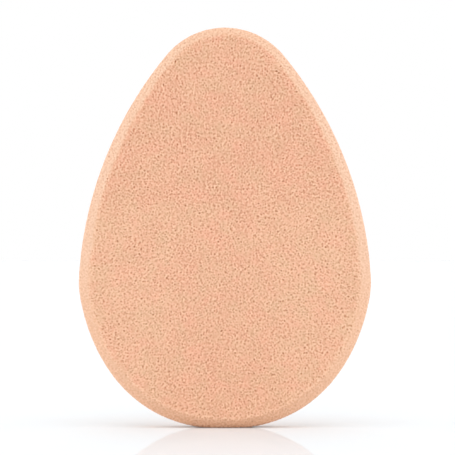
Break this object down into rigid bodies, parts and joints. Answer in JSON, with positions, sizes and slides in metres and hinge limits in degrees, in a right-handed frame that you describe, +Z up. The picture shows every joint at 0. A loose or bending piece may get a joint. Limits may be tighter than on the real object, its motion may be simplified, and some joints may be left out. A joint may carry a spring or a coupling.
{
  "type": "makeup sponge",
  "caption": "Flat egg-shaped makeup sponge of fine-cell foam with a ground bevel round both faces, for spreading and blending foundation or powder.",
  "frame": {"origin": "on the floor under the middle of the foot, the small patch of the rim that is flattened where the sponge stands on its wide end", "axes": "+Z up along the sponge from its wide end to its narrow tip, +Y from the front face to the back face through the thickness, +X to the right as the front face is seen"},
  "size_m": [0.0584, 0.009, 0.08],
  "materials": {
    "foam": "matt skin-tone foam with fine open cells"
  },
  "bodies": {
    "root": {"sponge_body": "foam"}
  },
  "joints": []
}
